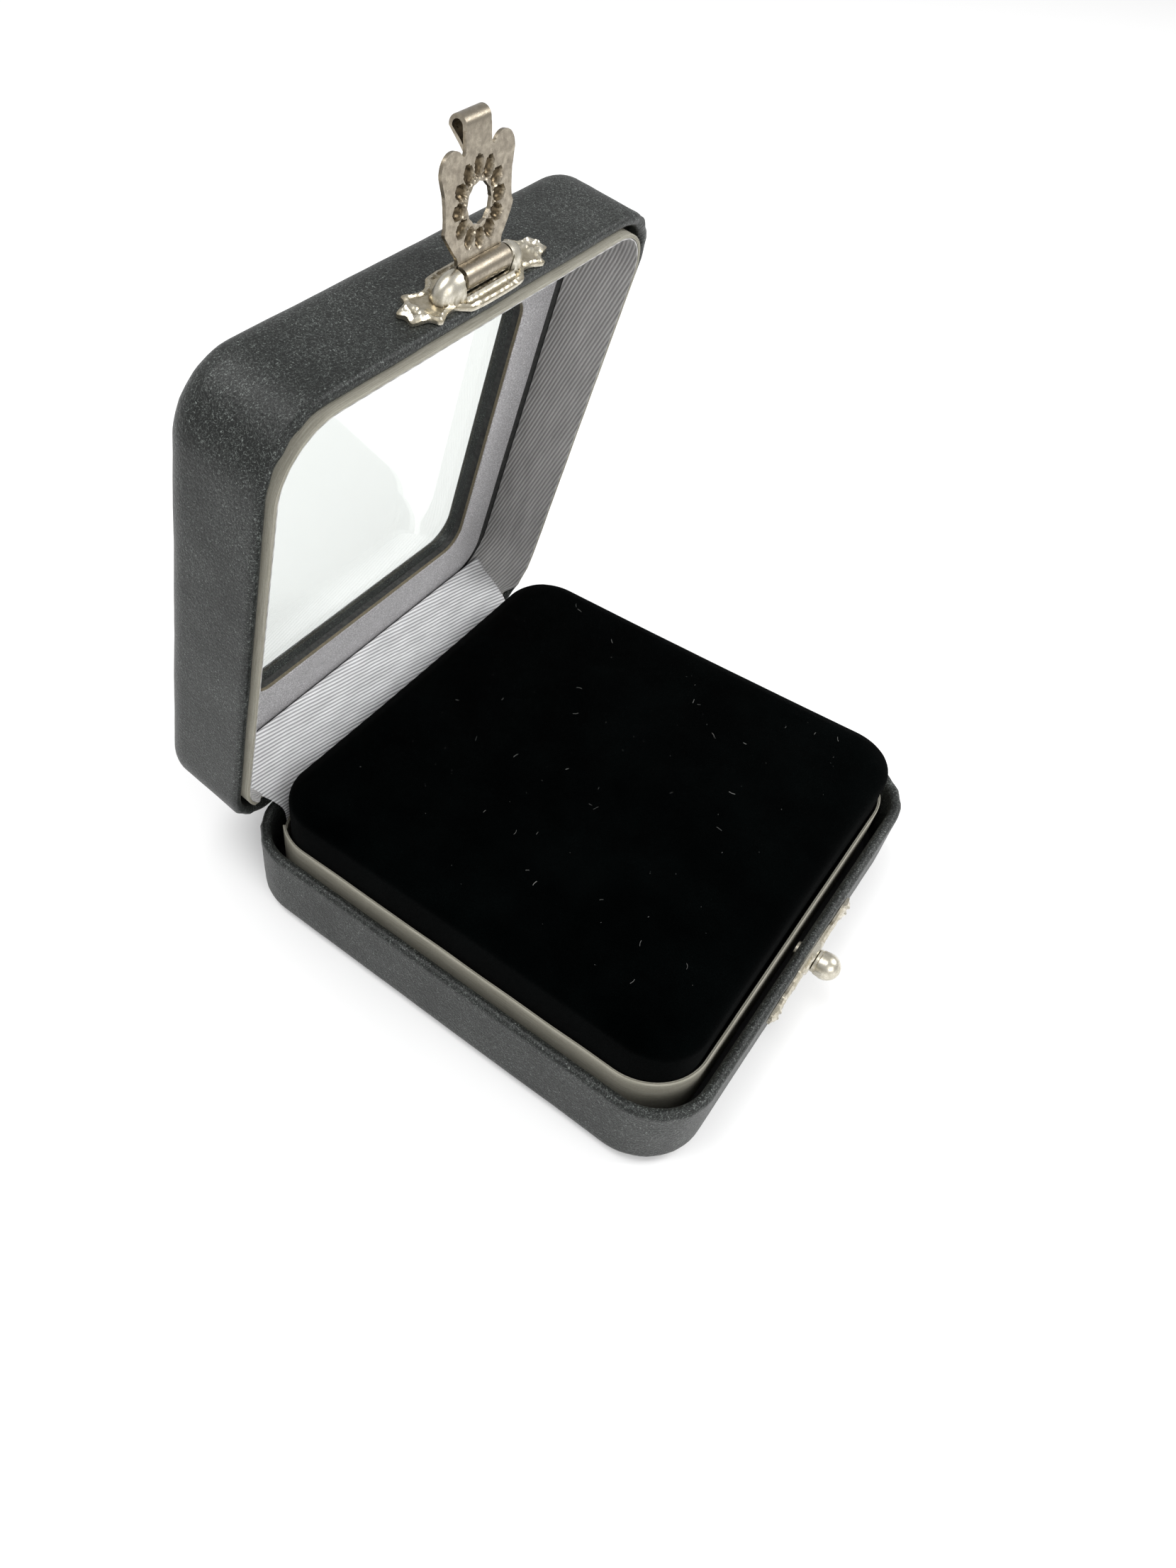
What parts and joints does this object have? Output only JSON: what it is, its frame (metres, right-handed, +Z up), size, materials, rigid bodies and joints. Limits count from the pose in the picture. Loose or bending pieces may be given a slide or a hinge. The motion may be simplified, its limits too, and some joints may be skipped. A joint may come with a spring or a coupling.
{
  "type": "jewelry box",
  "caption": "Square hinged presentation box: leather-covered base and windowed lid, hasp and stud catch, satin lining and a press-fitted velvet pad.",
  "frame": {"origin": "centre of the underside, on the surface the box stands on", "axes": "+Z up, +X to the right seen from the catch, +Y towards the lid hinge, so the catch faces -Y"},
  "size_m": [0.08, 0.0998, 0.1098],
  "materials": {
    "cover_leather": "fine-grained black leatherette, satin sheen",
    "shell_plastic": "moulded matt black plastic",
    "underside_paper": "flocked black paper",
    "cream_card": "cream pearl paper over card",
    "black_card": "matt black card",
    "silver_satin": "silver-grey satin twill",
    "window_glass": "clear polished",
    "black_velvet": "black cotton velvet",
    "pad_foam": "open-cell foam",
    "grey_board": "raw grey board",
    "nickel_plate": "nickel-plated stamped steel, aged",
    "hinge_steel": "plain steel strip"
  },
  "bodies": {
    "base": {"base_shell": "shell_plastic", "base_cover": "cover_leather", "base_bottom_panel": "underside_paper", "base_liner_band": "cream_card", "hinge_cloth_base": "silver_satin", "hinge_leaf_base": "hinge_steel", "hinge_pin": "hinge_steel", "catch_plate": "nickel_plate", "catch_knob": "nickel_plate", "pad_form": "grey_board", "pad_foam": "pad_foam", "pad_velvet": "black_velvet"},
    "lid": {"lid_shell": "shell_plastic", "lid_cover": "cover_leather", "window_glass": "window_glass", "window_card": "black_card", "window_satin": "silver_satin", "lid_liner_card": "cream_card", "lid_liner_twill": "silver_satin", "hinge_cloth_lid": "silver_satin", "hinge_leaf_lid": "hinge_steel", "hasp_plate": "nickel_plate", "hasp_pin": "nickel_plate"},
    "hasp": {"hasp_leaf": "nickel_plate"}
  },
  "joints": [
    {"name": "lid_hinge", "type": "hinge", "parent": "base", "child": "lid", "pos_m": [0, 0.0387, 0.01305], "axis": [1, 0, 0], "range_deg": [0, 79]},
    {"name": "hasp_hinge", "type": "hinge", "parent": "lid", "child": "hasp", "pos_m": [0, 0.02777, 0.09313], "axis": [1, 0, 0], "range_deg": [0, 106]}
  ]
}
